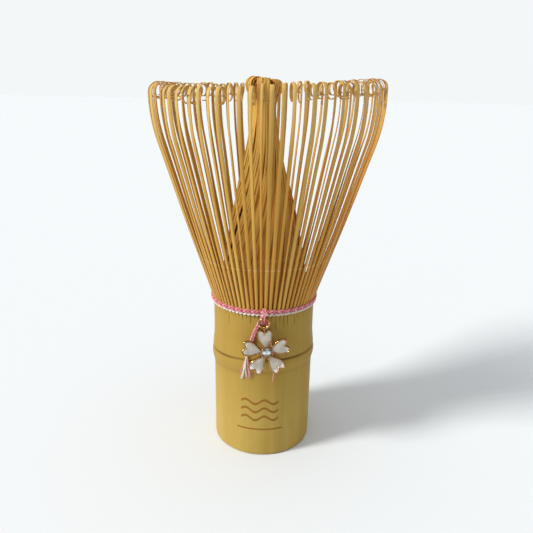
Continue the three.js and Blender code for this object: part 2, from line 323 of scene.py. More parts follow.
# ---- Material helpers ----------------------------------------------------------------------------
class Shader:
    """Adds shader nodes to a new material and links them."""

    def __init__(self, name):
        self.material = bpy.data.materials.new(name)
        self.material.use_nodes = True
        self.tree = self.material.node_tree
        self.surface = self.tree.nodes["Principled BSDF"]

    def node(self, kind, **settings):
        made = self.tree.nodes.new(kind)
        for key, value in settings.items():
            setattr(made, key, value)
        return made

    def feed(self, socket, value):
        if isinstance(value, bpy.types.NodeSocket):
            self.tree.links.new(value, socket)
        elif isinstance(value, tuple) and len(value) == 3 and socket.type == "RGBA":
            socket.default_value = (*value, 1)
        else:
            socket.default_value = value

    def math(self, operation, *values, clamp=False):
        made = self.node("ShaderNodeMath", operation=operation, use_clamp=clamp)
        for socket, value in zip(made.inputs, values):
            self.feed(socket, value)
        return made.outputs[0]

    def ramp(self, source, low, high, dark=(0, 0, 0), light=(1, 1, 1)):
        made = self.node("ShaderNodeValToRGB")
        for element, place, colour in zip(made.color_ramp.elements, (low, high), (dark, light)):
            element.position = place
            element.color = (*colour, 1)
        self.feed(made.inputs[0], source)
        return made.outputs[0]

    def mix(self, factor, a, b):
        made = self.node("ShaderNodeMix", data_type="RGBA")
        for index, value in ((0, factor), (6, a), (7, b)):
            self.feed(made.inputs[index], value)
        return made.outputs[2]

    def position(self):
        return self.node("ShaderNodeTexCoord").outputs["Object"]

    def uv(self):
        return self.node("ShaderNodeUVMap", uv_map="UVMap").outputs["UV"]

    def tone(self):
        return self.node("ShaderNodeAttribute", attribute_name="tone").outputs["Fac"]

    def split(self, vector):
        made = self.node("ShaderNodeSeparateXYZ")
        self.feed(made.inputs[0], vector)
        return made.outputs

    def noise(self, vector, scale, stretch=(1, 1, 1), detail=3.0, roughness=0.55):
        mapping = self.node("ShaderNodeMapping")
        self.feed(mapping.inputs["Vector"], vector)
        self.feed(mapping.inputs["Scale"], stretch)
        made = self.node("ShaderNodeTexNoise")
        self.feed(made.inputs["Vector"], mapping.outputs[0])
        self.feed(made.inputs["Scale"], scale)
        self.feed(made.inputs["Detail"], detail)
        self.feed(made.inputs["Roughness"], roughness)
        return made.outputs["Fac"]

    def bell(self, value, middle, width):
        """1 where value is at middle, falling to 0 at that width away."""
        away = self.math("ABSOLUTE", self.math("SUBTRACT", value, middle))
        return self.math("SUBTRACT", 1.0, self.math("DIVIDE", away, width), clamp=True)

    def bump(self, height, strength, distance):
        made = self.node("ShaderNodeBump")
        self.feed(made.inputs["Strength"], strength)
        self.feed(made.inputs["Distance"], distance)
        self.feed(made.inputs["Height"], height)
        self.feed(self.surface.inputs["Normal"], made.outputs["Normal"])

    def finish(self, colour, **values):
        self.feed(self.surface.inputs["Base Color"], colour)
        for key, value in values.items():
            self.feed(self.surface.inputs[key.replace("_", " ")], value)
        return self.material


def srgb(*channels):
    """A colour as a picture states it, 0 to 255, in Blender's linear values."""
    shares = [c / 255 for c in channels]
    return tuple(c / 12.92 if c <= 0.04045 else ((c + 0.055) / 1.055) ** 2.4 for c in shares)


# ---- Materials -----------------------------------------------------------------------------------
def burnt_mark(m, position):
    """A plain burnt mark on the front of the culm: three waves over a short rule."""
    x, y, z = m.split(position)
    across = m.math("SUBTRACT", x, MARK_X)
    wave = m.math("MULTIPLY", m.math("SINE", m.math("MULTIPLY", across, TAU / (5.4 * MM))), 0.7 * MM)
    level = m.math("SUBTRACT", m.math("SUBTRACT", z, MARK_Z), wave)
    marks = 0.0
    for k in (-1, 0, 1):
        marks = m.math("MAXIMUM", marks, m.bell(level, k * 2.7 * MM, 0.62 * MM))
    marks = m.math("MULTIPLY", marks, m.math("LESS_THAN", m.math("ABSOLUTE", across), 5.4 * MM))
    rule = m.math("MULTIPLY", m.bell(z, MARK_Z - 6.4 * MM, 0.42 * MM),
                  m.math("LESS_THAN", m.math("ABSOLUTE", across), 6.6 * MM))
    both = m.math("MULTIPLY", m.math("MAXIMUM", marks, rule), m.math("LESS_THAN", y, 0.0))
    return m.ramp(both, 0.25, 0.5)


def culm_skin():
    """Bamboo skin: fibres and planed bands along the culm, soft blotches, a dark node, a burnt mark."""
    m = Shader("bamboo_skin")
    position = m.position()
    fibres = m.noise(position, 2600, (1, 1, 0.02), 3, 0.6)
    bands = m.noise(position, 330, (1, 1, 0.015), 2, 0.5)
    blotches = m.noise(position, 120, (1, 1, 0.5), 4, 0.6)
    colour = m.ramp(bands, 0.3, 0.75, srgb(173, 145, 72), srgb(184, 157, 84))
    colour = m.mix(m.ramp(fibres, 0.35, 0.8, (0, 0, 0), (0.35, 0.35, 0.35)), colour, srgb(158, 124, 50))
    colour = m.mix(m.ramp(blotches, 0.5, 0.8, (0, 0, 0), (0.4, 0.4, 0.4)), colour, srgb(166, 128, 46))
    # the skin turns darker from 12 mm up to 30 mm and stays darker above
    darker_upward = m.ramp(m.split(position)[2], 0.012, 0.03, (0, 0, 0), (0.55, 0.55, 0.55))
    colour = m.mix(darker_upward, colour, srgb(152, 120, 46))
    # the tone attribute darkens the node's line, the scar and, as painted shade, the splits at the top edge
    colour = m.mix(m.tone(), colour, srgb(92, 60, 20))
    mark = burnt_mark(m, position)
    colour = m.mix(m.math("MULTIPLY", mark, 0.85), colour, srgb(136, 86, 28))
    grain = m.math("ADD", fibres, m.math("MULTIPLY", bands, 3.0))
    m.bump(m.math("SUBTRACT", grain, mark), 0.35, 0.05 * MM)
    return m.finish(colour, Roughness=0.5, Specular_IOR_Level=0.1)


def tine_skin(name, light, dark, edge, roughness, tip_highlight_amount, root_shade_amount):
    """Split bamboo: fibres, the tine's tone, browner sides and inner face, a paler step, painted shade at the
    roots and painted highlight at the tips.
    """
    m = Shader(name)
    uv, tone = m.uv(), m.tone()
    u, v, _ = m.split(uv)
    place = m.node("ShaderNodeCombineXYZ")
    m.feed(place.inputs[0], u)
    m.feed(place.inputs[1], v)
    m.feed(place.inputs[2], m.math("MULTIPLY", tone, 41.0))
    fibres = m.noise(place.outputs[0], 1.0, (26, 2.2, 1), 4, 0.6)
    patches = m.noise(place.outputs[0], 1.0, (1.0, 5.0, 1), 2, 0.5)
    colour = m.mix(tone, dark, light)
    colour = m.mix(m.ramp(fibres, 0.4, 0.75, (0, 0, 0), (0.5, 0.5, 0.5)), colour, dark)
    colour = m.mix(m.ramp(patches, 0.45, 0.8, (0, 0, 0), (0.4, 0.4, 0.4)), colour, light)
    half = m.math("FRACT", m.math("MULTIPLY", u, 2.0))
    cut = m.math("MULTIPLY", m.math("GREATER_THAN", half, 0.26), 0.5)
    inside = m.math("MULTIPLY", m.math("GREATER_THAN", u, 0.45), 0.2)
    colour = m.mix(m.math("ADD", cut, inside), colour, edge)
    height = m.split(m.position())[2]
    step = m.math("MULTIPLY", m.bell(height, SHAVED_FROM, 0.3 * MM), 0.45)
    # painted highlight: the tines turn paler from 86 mm up to 100 mm; the paler step where the shaving begins
    # is the wood's own
    tips = m.ramp(height, 0.086, 0.1, (0, 0, 0), (tip_highlight_amount,) * 3)
    colour = m.mix(m.math("MAXIMUM", step, tips), colour, srgb(218, 188, 128))
    # painted shade: the tines darken towards red-brown below 50 mm, fading out by 75 mm, most of all the
    # inner tines deep in the whisk
    colour = m.mix(m.ramp(height, 0.05, 0.075, (root_shade_amount,) * 3, (0, 0, 0)), colour, srgb(132, 50, 6))
    m.bump(fibres, 0.25, 0.04 * MM)
    return m.finish(colour, Roughness=roughness, Specular_IOR_Level=0.14)


def thread(name, light, dark):
    """Spun cotton: fine fuzz, a lengthwise streak on each ply, and each strand's own tone."""
    m = Shader(name)
    fuzz = m.noise(m.position(), 7000, (1, 1, 1), 3, 0.6)
    streak = m.noise(m.uv(), 1.0, (9, 160, 1), 2, 0.5)
    colour = m.mix(m.tone(), dark, light)
    colour = m.mix(m.ramp(fuzz, 0.3, 0.7, (0, 0, 0), (0.5, 0.5, 0.5)), colour, light)
    colour = m.mix(m.ramp(streak, 0.45, 0.7, (0, 0, 0), (0.5, 0.5, 0.5)), colour, dark)
    m.bump(m.math("ADD", fuzz, streak), 0.5, 0.04 * MM)
    return m.finish(colour, Roughness=0.8, Sheen_Weight=0.35, Sheen_Roughness=0.5)


def gold():
    """Rose gold plating, a little uneven and smudged."""
    m = Shader("rose_gold")
    smudge = m.noise(m.position(), 900, (1, 1, 1), 3, 0.6)
    colour = m.ramp(smudge, 0.3, 0.7, srgb(140, 96, 46), srgb(206, 160, 104))
    dullness = m.ramp(smudge, 0.3, 0.7, (0.12,) * 3, (0.22,) * 3)
    m.bump(m.noise(m.position(), 5000, (1, 1, 1), 2, 0.5), 0.08, 0.03 * MM)
    return m.finish(colour, Metallic=1.0, Specular_Tint=srgb(150, 120, 90), Roughness=dullness)


def enamel():
    """Pearly grey enamel with a slight cloud in it, and painted highlight: whiter towards the petal's tips.
    """
    m = Shader("pearl_enamel")
    cloud = m.noise(m.position(), 700, (1, 1, 1), 3, 0.5)
    colour = m.ramp(cloud, 0.3, 0.7, srgb(152, 143, 130), srgb(180, 171, 158))
    colour = m.mix(m.tone(), colour, srgb(246, 240, 236))
    m.bump(m.noise(m.position(), 4000, (1, 1, 1), 2, 0.5), 0.06, 0.03 * MM)
    return m.finish(colour, Roughness=0.28, Coat_Weight=0.6, Coat_Roughness=0.08)


def crystal():
    """A foiled cut stone: the facets mirror the room, and dark and white patches in its colour are painted
    reflections.
    """
    m = Shader("crystal")
    # painted reflection: patches of dark grey and white in the stone's colour
    facet_reflection_patches = m.noise(m.position(), 1500, (1, 1, 1), 2, 0.5)
    colour = m.ramp(facet_reflection_patches, 0.42, 0.6, srgb(104, 112, 106), srgb(238, 243, 247))
    return m.finish(colour, Metallic=0.8, Roughness=0.04, Coat_Weight=1.0, Coat_Roughness=0.02)


SKIN = culm_skin()
OUTER_SKIN = tine_skin("bamboo_tine", srgb(198, 164, 82), srgb(176, 130, 48), srgb(182, 98, 14),
                       roughness=0.5, tip_highlight_amount=0.3, root_shade_amount=0.02)
INNER_SKIN = tine_skin("bamboo_inner", srgb(204, 166, 82), srgb(178, 132, 50), srgb(180, 90, 12),
                       roughness=0.6, tip_highlight_amount=0.06, root_shade_amount=0.65)
PINK = thread("pink_thread", srgb(243, 172, 178), srgb(192, 70, 82))
WHITE = thread("white_thread", srgb(240, 232, 226), srgb(206, 192, 184))
GOLD = gold()
ENAMEL = enamel()
CRYSTAL = crystal()


# ---- Culm ----------------------------------------------------------------------------------------
def above_node(angle, z):
    """The height above the node's slanted groove, out at the culm's surface."""
    around = Vector((math.cos(angle), math.sin(angle), 0)) * CULM_RADIUS
    return z - NODE_Z - NODE_RISE.dot(around)


def culm_radius(angle, z):
    """The outer surface: straight, slightly out of round, with ridges above and below the node's groove."""
    level = above_node(angle, z)
    relief = sum(height * bell(level - place, width) for height, place, width in NODE_RELIEF)
    wobble = 0.04 * MM * math.sin(2 * angle + 0.7) + 0.025 * MM * math.sin(9 * angle + z * 40)
    return CULM_RADIUS + relief + wobble


def culm():
    """The handle: hollow from the foot and from the top, closed at the node, split at the top edge."""
    builder = Builder()
    steps = 8  # points for each tine's width
    around = OUTER_COUNT * steps
    angles = [TAU * j / around for j in range(around)]
    floor, ceiling = NODE_Z - NODE_WALL / 2, NODE_Z + NODE_WALL / 2
    splits = [rng.choice(SPLIT_DEPTHS) * rng.uniform(0.6, 1.4) for _ in range(OUTER_COUNT)]
    rows, tones = [], []

    def ring(radius_at, z, dark_at=lambda j: 0.0, slant=0.0):
        rise = [slant * NODE_RISE.dot(Vector((math.cos(a), math.sin(a), 0))) * radius_at(j)
                for j, a in enumerate(angles)]
        rows.append([Vector((radius_at(j) * math.cos(a), radius_at(j) * math.sin(a), z + rise[j]))
                     for j, a in enumerate(angles)])
        tones.append([dark_at(j) for j in range(around)])

    def bore_radius(j):
        return LOWER_BORE * (1 + 0.015 * math.sin(3 * angles[j]) + 0.004 * math.sin(17 * angles[j]))

    def cut(j, z):
        """How deep, 0 to 1, the split at this point is: splits stand at every steps-th point."""
        if j % steps:
            return 0.0
        return smoothstep((z - (SKIN_TOP - 0.4 * MM - splits[j // steps])) / (1.2 * MM))

    def skin(j, z):
        return culm_radius(angles[j], z) - 0.25 * MM * cut(j, z)

    def node_lines_and_split_shade(j, z):
        level = above_node(angles[j], z)
        line = 0.8 * bell(level + 0.05 * MM, 0.3 * MM) * (0.75 + 0.25 * math.sin(5 * angles[j] + 1))
        scar = 0.14 * bell(level + SCAR_DROP, 0.6 * MM)
        # the 0.75 share darkens each split at the top edge: painted shade in the crack
        return max(line, scar, 0.75 * cut(j, z))

    for share, drop in ((0.002, 0), (0.6, 0.1), (0.9, 0.9)):
        ring(lambda j, r=LOWER_BORE * share: r, floor - drop * MM, lambda j: 0.25, 1.0)
    for z in (floor - 2.4 * MM, floor * 0.5, CULM_FOOT + 0.25 * MM):
        ring(bore_radius, z, lambda j: 0.2)
    ring(lambda j: bore_radius(j) + 0.2 * MM, CULM_FOOT)
    for step in range(6):
        turn = math.pi / 2 * step / 5
        inset, lift = FOOT_ROUNDING * (1 - math.sin(turn)), FOOT_ROUNDING * (1 - math.cos(turn))
        ring(lambda j, d=inset: skin(j, CULM_FOOT) - d, CULM_FOOT + lift)
    z = CULM_FOOT + FOOT_ROUNDING
    while z < SKIN_TOP - 0.01 * MM:
        near_node = abs(z - NODE_Z) < 4 * MM or abs(z - NODE_Z + SCAR_DROP) < 2.4 * MM
        fine = near_node or z > SKIN_TOP - 4 * MM
        z = min(z + (0.16 if fine else 0.8) * MM, SKIN_TOP)
        ring(lambda j, z=z: skin(j, z), z, lambda j, z=z: node_lines_and_split_shade(j, z))
    for share, z, slant in ((1, SKIN_TOP, 0), (1, ceiling + 2.4 * MM, 1), (0.9, ceiling + 0.8 * MM, 1),
                            (0.5, ceiling + 0.2 * MM, 1), (0.002, ceiling, 1)):
        ring(lambda j, r=UPPER_BORE * share: r, z, lambda j: 0.2, slant)
    builder.grid(rows)
    builder.tones = [tone for row in tones for tone in row]
    settle(builder.piece("culm_handle", SKIN), "handle", "bamboo_skin", "handle_culm")


# ---- Tines ---------------------------------------------------------------------------------------
def flat_section(width, thickness):
    """A flat strip's cross-section with eased edges: (across, out) pairs, the outer face first."""
    half, thin = width / 2, thickness / 2
    ease = thin * 0.7
    return [(-half + ease, thin), (half - ease, thin), (half, thin - ease), (half, ease - thin),
            (half - ease, -thin), (ease - half, -thin), (-half, ease - thin), (-half, thin - ease)]


def add_tine(builder, line, angle_at, width_at, thickness_at, sideways, tone, twist=lambda share: 0.0,
             shift=lambda z: Vector((0, 0, 0))):
    """line: (radius, z) points of the tine's middle. The other functions take the share of its length."""
    rows, count = [], len(line)
    for i, (radius, z) in enumerate(line):
        before, after = line[max(i - 1, 0)], line[min(i + 1, count - 1)]
        along = Vector((after[0] - before[0], after[1] - before[1])).normalized()
        share = i / (count - 1)
        c, s = math.cos(twist(share)), math.sin(twist(share))
        ring = []
        for across, outward in flat_section(width_at(share, z), thickness_at(share, z)):
            aside, out = across * c - outward * s + sideways(share), across * s + outward * c
            point = (radius + along.y * out, aside, z - along.x * out)
            ring.append(spin(point, angle_at(share)) + shift(z))
        rows.append(ring)
    builder.grid(rows, tone=tone)


def outer_line(spread, curl, curl_turn, top):
    """The radial path of an outer tine: root, lean, bend back to upright, inward curl of that radius."""
    start = CULM_RADIUS - 0.2 * MM
    lean = LEAN + spread
    points = [(start, lerp(SKIN_TOP - 0.1 * MM, LEAN_START, i / 3)) for i in range(3)]
    for i in range(26):
        z = lerp(LEAN_START, BEND_Z, i / 26)
        belly = 0.22 * MM * math.sin(math.pi * smoothstep(i / 26))
        points.append((start + (z - LEAN_START) * math.tan(lean) + belly, z))
    base = start + (BEND_Z - LEAN_START) * math.tan(lean)
    for i in range(13):
        turn = lean * (1 - i / 12)
        points.append((base + BEND_RADIUS * (math.cos(turn) - math.cos(lean)),
                       BEND_Z + BEND_RADIUS * (math.sin(lean) - math.sin(turn))))
    radius, z = points[-1]
    middle = top - curl
    if middle > z:
        points.append((radius, (z + middle) / 2))
    for i in range(29):
        turn = curl_turn * i / 28
        tight = curl * (1 - 0.16 * i / 28)
        points.append((radius - curl + tight * math.cos(turn), middle + tight * math.sin(turn)))
    return points


def outer_tines(sector):
    """One sector's outer tines, each with its own width, twist, drift and curl."""
    builder = Builder()
    for i in range(OUTER_PER_SECTOR):
        angle = (sector * OUTER_PER_SECTOR + i + 0.5) * TINE_PITCH
        dip = FRONT_DIP * max(0.0, -math.sin(angle)) ** 2
        top = TIP_TOP + RIM_LIFT + RIM_RISE * math.cos(angle) - dip - rng.uniform(0.0, 0.8) * MM
        line = outer_line(between(LEAN_SPREAD), between(CURL_RADII), math.radians(between(CURL_DEGREES)), top)
        wide = between(THIN_TINE_WIDTHS if rng.random() < THIN_TINE_SHARE else TINE_WIDTHS)
        turned = rng.uniform(-0.6, 0.6)
        root = between(ROOT_WIDTHS)
        drift, curl_drift = rng.uniform(-0.4, 0.4) * MM, rng.uniform(-0.55, 0.55) * MM

        def width(share, z, root=root, wide=wide):
            full = lerp(root, wide, smoothstep((z - 46 * MM) / (14 * MM)))
            return full * (1 - 0.25 * smoothstep((share - 0.7) / 0.3))

        def thickness(share, z):
            shaved = 0.05 * smoothstep((z - SHAVED_FROM) / (0.3 * MM))
            return (lerp(0.42, 0.2, smoothstep((share - 0.1) / 0.6)) - shaved) * MM

        add_tine(builder, line, lambda share, a=angle: a, width, thickness,
                 lambda s, d=drift, c=curl_drift: d * s * s + c * smoothstep((s - 0.6) / 0.4),
                 rng.uniform(0.1, 1.0),
                 lambda s, t=turned: t * smoothstep((s - 0.12) / 0.3) * smoothstep((0.75 - s) / 0.2))
    number = f"{sector + 1:02d}"
    obj = builder.piece(f"outer_tines_split_{number}", OUTER_SKIN)
    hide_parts(f"outer_tines_{number}")
    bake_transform(obj)


def inner_line(neck, shoulder, bulge, curl, curl_turn, top):
    """The radial path of an inner tine: root, shoulder, neck, out to the knot's bulge, inward curl."""
    side_z = top - curl
    guide = [(INNER_RADIUS, ROOT_BOTTOM), (INNER_RADIUS, ROOT_BOTTOM + 1.6 * MM), (shoulder, SHOULDER_Z),
             (neck + 0.95 * MM, side_z - 12 * MM), (neck, side_z - 4.6 * MM),
             (lerp(neck, bulge, 0.75), side_z - 1.7 * MM), (bulge, side_z)]
    points = [(p.x, p.z) for p in smooth_path([(r, 0, z) for r, z in guide], 46)]
    for i in range(1, 25):
        turn = curl_turn * i / 24
        tight = curl * (1 - 0.2 * i / 24)
        points.append((bulge - curl + tight * math.cos(turn), side_z + tight * math.sin(turn)))
    return points


def inner_tines(sector):
    """Inner tines gather in clumps towards the knot, where each clump rolls over inwards as one lobe."""
    builder = Builder()
    clump_angle = TAU / KNOT_CLUMPS
    for i in range(INNER_PER_SECTOR):
        angle = (sector * INNER_PER_SECTOR + i + 0.5) * SECTOR_ANGLE / INNER_PER_SECTOR
        clump = round((angle + BUNDLE_TWIST + math.pi / 2) / clump_angle)
        middle = clump * clump_angle - math.pi / 2
        neck, bulge, curl, drop = KNOT_LAYERS[(sector * INNER_PER_SECTOR + i) % len(KNOT_LAYERS)]
        neck += rng.uniform(-0.12, 0.12) * MM
        bulge += rng.uniform(-0.15, 0.1) * MM
        curl += rng.uniform(-0.1, 0.1) * MM
        lift = 0.15 * MM - 0.4 * MM * math.cos(middle)
        top = KNOT_TOP + lift - drop - rng.uniform(0, 0.3) * MM
        shoulder = SHOULDER_RADIUS + rng.uniform(-0.5, 0.25) * MM
        line = inner_line(neck, shoulder, bulge, curl, math.radians(rng.uniform(200, 260)), top)
        beside = (angle + BUNDLE_TWIST - middle) / (clump_angle / 2) * CLUMP_HALF
        wander = rng.uniform(-0.18, 0.18) * MM

        def gather(share):
            return smoothstep((share - 0.4) / 0.22)

        def sideways(share, beside=beside, wander=wander):
            narrow = 1 - 0.5 * smoothstep((share - 0.72) / 0.2)
            return gather(share) * beside * narrow + wander * math.sin(math.pi * min(share * 1.9, 1))

        def around(share, angle=angle, middle=middle):
            return lerp(angle + BUNDLE_TWIST * smoothstep((share - 0.08) / 0.5), middle, gather(share))

        add_tine(builder, line, around,
                 lambda share, z: lerp(1.02, 0.62, smoothstep(share / 0.6)) * MM,
                 lambda share, z: lerp(0.4, 0.22, share) * MM, sideways, rng.uniform(0.1, 1.0),
                 shift=lambda z: Vector((BUNDLE_LEAN * smoothstep((z - 45 * MM) / (60 * MM)), 0, 0)))
    number = f"{sector + 1:02d}"
    obj = builder.piece(f"inner_tines_split_{number}", INNER_SKIN)
    settle(obj, "handle", "bamboo_inner", f"inner_tines_{number}")


# ---- Binding -------------------------------------------------------------------------------------
def twined_row(builder, radius, z, yarn, slant, weave=0.3 * MM):
    """Two threads that change sides by weave at each gap between tines; a stitch leans by slant."""
    count = OUTER_COUNT * 14
    for phase in (0, math.pi):
        path = []
        for i in range(count):
            a = TAU * i / count
            turn = OUTER_COUNT / 2 * a + math.pi / 4 + phase
            r = radius + weave * math.cos(turn)
            rise = THREAD_RISE * r * math.sin(a) + slant * math.sin(turn)
            path.append(Vector((r * math.cos(a), r * math.sin(a), z + rise)))
        add_yarn(builder, path, yarn, OUTER_COUNT * 1.5, closed=True, tone=0.0 if phase else 0.6)


def binding():
    """The pink thread twines up the tines in two rows of opposite stitches, the white one in a row below."""
    pink, white = Builder(), Builder()
    base = PINK_Z - 0.3 * MM
    twined_row(pink, 15.1 * MM, base + 0.25 * MM, PINK_YARN, 0.2 * MM)
    twined_row(pink, 15.0 * MM, base - 0.23 * MM, PINK_YARN, -0.2 * MM)
    twined_row(white, 14.72 * MM, base - 0.9 * MM, WHITE_YARN, 0.16 * MM, weave=0.42 * MM)
    settle(pink.piece("binding_pink_weave", PINK), "handle", "pink_thread", "binding_thread_pink")
    settle(white.piece("binding_white_weave", WHITE), "handle", "white_thread", "binding_thread_white")


def on_culm(x, z, lift=0.25 * MM):
    """A point just in front of the culm's skin: x across the front, z up."""
    angle = -math.pi / 2 + math.asin(x / CULM_RADIUS)
    radius = culm_radius(angle, z) + lift
    return Vector((radius * math.cos(angle), radius * math.sin(angle), z))


def hanging_loop():
    """The pink thread's loop through the jump ring, its knot with two ears, and a tuft behind the ring."""
    builder = Builder()
    loop = [RING_PIVOT + Vector((0.1 * math.sin(a), 0.62 * math.cos(a), 0.68 * math.sin(a))) * MM
            for a in (TAU * i / 40 for i in range(40))]
    add_yarn(builder, loop, 0.17 * MM, 9, closed=True, up=RIGHT)
    middle = RING_PIVOT + Vector((-0.1, 0.7, 1.15)) * MM
    knot = []
    for a in (TAU * i / 72 for i in range(72)):
        knot.append(middle + Vector(((math.sin(a) + 1.5 * math.sin(2 * a)) * 0.3, -0.3 * math.sin(3 * a),
                                     (math.cos(a) - 1.5 * math.cos(2 * a)) * 0.32)) * MM)
    add_yarn(builder, knot, 0.2 * MM, 16, closed=True, up=INWARD, tone=0.85)
    for side in (-1, 1):
        ear = [middle + Vector((x * side, y, z)) * MM for x, y, z in
               ((0, 0, 0.2), (0.4, -0.1, 0.8), (0.3, 0.1, 1.35), (-0.15, 0, 0.95), (0, 0, 0.1))]
        add_yarn(builder, smooth_path(ear, 26), 0.16 * MM, 6, up=INWARD)
    tuft = on_culm(RING_PIVOT.x - 0.1 * MM, RING_PIVOT.z - 1.5 * MM, 0.75 * MM)
    coil = []
    for i in range(60):
        share = i / 59
        a = TAU * 3.2 * share
        r = 0.78 * math.sin(math.pi * (0.12 + 0.8 * share))
        coil.append(tuft + Vector((r * math.cos(a), lerp(0.35, -0.35, share), 1.25 * r * math.sin(a))) * MM)
    add_yarn(builder, coil, PINK_YARN, 14, up=INWARD, tone=0.0)
    settle(builder.piece("hanging_loop_knot", PINK), "handle", "pink_thread", "hanging_thread_loop")


def culm_route(points, lift):
    """A smooth line over the culm's front: (x, z) points in millimetres."""
    return [on_culm(x * MM, z * MM, lift) for x, z in points]


def tail_braid():
    """A three-strand plait from the knot down to the left."""
    builder = Builder()
    route = ((0.1, 45.2), (-0.8, 43.7), (-2.0, 41), (-2.9, 38.2), (-3.5, 35.4), (-3.9, 33.6))
    spine = smooth_path(culm_route(route, 0.45 * MM), 120)
    directions = frames_along(spine, up=INWARD)
    last = len(spine) - 1
    for strand in range(3):
        line = []
        for i, (point, (side, normal)) in enumerate(zip(spine, directions)):
            a = TAU * (5.5 * i / last + strand / 3)
            line.append(point + side * math.sin(a) * 0.42 * MM + normal * math.sin(2 * a) * 0.22 * MM)
        add_yarn(builder, line, 0.2 * MM, 16, up=INWARD, tone=(0.5, 1.0, 1.0)[strand])
    settle(builder.piece("tail_braid_plait", PINK), "handle", "pink_thread", "thread_tail_braid")


def loose_end(builder, x, z, strands, thick):
    """Loose strands from the plait's end to (x, z), in millimetres, each a little frayed at its tip."""
    fork_x, fork_z = TAIL_FORK
    for _ in range(strands):
        top = on_culm((fork_x + rng.uniform(-0.25, 0.25)) * MM, fork_z * MM, rng.uniform(0.25, 0.6) * MM)
        sway = rng.uniform(0.4, 0.6)
        middle_x = lerp(fork_x, x, sway) + rng.uniform(-0.15, 0.15)
        middle = on_culm(middle_x * MM, lerp(fork_z, z, 0.5) * MM, 0.4 * MM)
        end = on_culm((x + rng.uniform(-0.28, 0.28)) * MM, (z + rng.uniform(-0.3, 0.5)) * MM,
                      rng.uniform(0.2, 0.5) * MM)
        path = smooth_path([top, middle, end], 26)
        add_yarn(builder, path[:-2], thick, 8, up=INWARD)
        for _ in range(3):
            fray = Vector((rng.uniform(-0.2, 0.2), rng.uniform(-0.1, 0.1), rng.uniform(-0.4, 0.1))) * MM
            add_tube(builder, smooth_path([path[-5], path[-3], end + fray], 8), 0.045 * MM, 5, up=INWARD)


def tail():
    """The plait's loose ends in both colours, and the stray strand on the other side."""
    white, pink = Builder(), Builder()
    for x, z, strands, thick in ((-5.7, 25.7, 3, 0.17 * MM), (-4.5, 26.4, 2, 0.12 * MM)):
        loose_end(white, x, z, strands, thick)
    for x, z, strands, thick in ((-6.2, 27, 1, 0.14 * MM), (-3.7, 26.6, 1, 0.14 * MM),
                                 (-3.4, 25.7, 2, 0.16 * MM)):
        loose_end(pink, x, z, strands, thick)
    settle(white.piece("tail_white_threads", WHITE), "handle", "white_thread", "thread_tail_tassel")
    obj = pink.piece("tail_pink_threads", PINK)
    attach(obj, "handle")
    stray = Builder()
    route = ((0.7, 44.6), (1.2, 41), (2.4, 36), (2.7, 31), (3.0, 28), (2.9, 25))
    add_yarn(stray, smooth_path(culm_route(route, 0.2 * MM), 70), 0.16 * MM, 22, up=INWARD, tone=0.8,
             taper=lambda share: 1 - 0.5 * smoothstep((share - 0.85) / 0.15))
    settle(stray.piece("stray_pink_strand", PINK), "handle", "pink_thread", "thread_stray_strand")


# ---- Charm ---------------------------------------------------------------------------------------
CHARM_FRAME = (Matrix.Translation(CHARM_PIVOT) @ Matrix.Rotation(-CHARM_TILT, 4, "X")
               @ Matrix.Rotation(-CHARM_ROLL, 4, "Y") @ Matrix.Translation((0, 0, -CHARM_DROP)))
STONE_SEAT = CHARM_FRAME @ Matrix.Translation((0.2 * MM, 0, 0.4 * MM))  # the stone sits a little high


def petal_outline(inset):
    """One notched petal, pointing up, drawn in by that much: points in the charm's plane."""
    side = smooth_path([(x * PETAL_HALF, 0, z * PETAL_REACH) for x, z in PETAL_SIDE], 26)
    outline = side + [Vector((-p.x, 0, p.z)) for p in reversed(side[:-1])]
    result, count = [], len(outline)
    for i, point in enumerate(outline):
        along = (outline[(i + 1) % count] - outline[i - 1]).normalized()
        result.append(point + Vector((-along.z, 0, along.x)) * inset)
    return result


def petal_turn(k):
    return Matrix.Rotation(TAU * k / PETALS, 3, "Y")


def blossom_frame():
    """The gold frame: five trays with a rounded rim, a boss where they meet, and the bail."""
    builder = Builder()
    for k in range(PETALS):
        turn = petal_turn(k)
        plate = [[turn @ (p + INWARD * y) for p in petal_outline(inset)] for inset, y in
                 ((0.12 * MM, CHARM_BACK), (0.02 * MM, CHARM_BACK - 0.1 * MM), (0.02 * MM, 0.0),
                  (0.1 * MM, -0.08 * MM))]
        builder.grid(plate)
        rim = [turn @ (p - INWARD * 0.2 * MM) for p in petal_outline(RIM_WIRE)]
        add_tube(builder, rim, RIM_WIRE, 10, closed=True, up=INWARD)
    builder.grid([ring_of(r * MM, y * MM, 40) for r, y in
                  ((1.5, 0.45), (1.55, 0.35), (1.55, 0.0), (1.4, -0.1), (0.2, -0.12))])
    bail = [Vector((0, 0.7 * MM * math.cos(a), CHARM_DROP + 0.7 * MM * math.sin(a)))
            for a in (TAU * i / 36 for i in range(36))]
    add_tube(builder, bail, 0.25 * MM, 10, closed=True, up=RIGHT)
    stem = [UP * (CHARM_DROP - lerp(0.8, 2.2, i / 9) * MM) for i in range(10)]
    add_tube(builder, stem, 0.3 * MM, 12, up=INWARD)
    obj = builder.piece("blossom_frame", GOLD, place=CHARM_FRAME)
    settle(obj, "charm", "gold_metal", "charm_frame")


